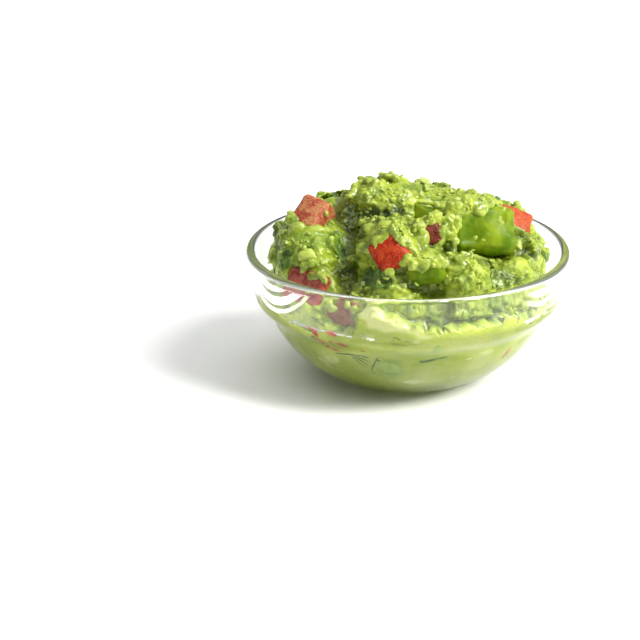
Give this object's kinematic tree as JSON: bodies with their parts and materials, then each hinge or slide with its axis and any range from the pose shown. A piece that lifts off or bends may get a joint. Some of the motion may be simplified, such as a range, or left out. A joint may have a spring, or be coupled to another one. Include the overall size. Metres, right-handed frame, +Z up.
{
  "type": "guacamole in a glass bowl",
  "caption": "Chunky guacamole heaped above the rim of a small clear glass bowl, with diced tomato and avocado sunk into the mash.",
  "frame": {"origin": "middle of the bowl's foot, on the surface it stands on", "axes": "+Z up, out of the bowl's mouth; -Y is the front, where the tomato shows best; +X to the right of the front"},
  "size_m": [0.12, 0.12, 0.075],
  "materials": {
    "clear_glass": "clear, polished, faintly green",
    "mashed_avocado": "wet, creamy and lumpy",
    "tomato_flesh": "wet, finely grained",
    "avocado_flesh": "smooth, moist",
    "herb_leaf": "crinkled, wet leaf",
    "onion_flesh": "translucent, wet"
  },
  "bodies": {
    "root": {"glass_bowl": "clear_glass", "guacamole": "mashed_avocado", "tomato_1": "tomato_flesh", "tomato_2": "tomato_flesh", "tomato_3": "tomato_flesh", "tomato_4": "tomato_flesh", "tomato_5": "tomato_flesh", "tomato_6": "tomato_flesh", "tomato_7": "tomato_flesh", "tomato_8": "tomato_flesh", "tomato_9": "tomato_flesh", "tomato_10": "tomato_flesh", "tomato_11": "tomato_flesh", "avocado_1": "avocado_flesh", "avocado_2": "avocado_flesh", "avocado_3": "avocado_flesh", "avocado_4": "avocado_flesh", "avocado_5": "avocado_flesh", "avocado_6": "avocado_flesh"}
  },
  "joints": []
}
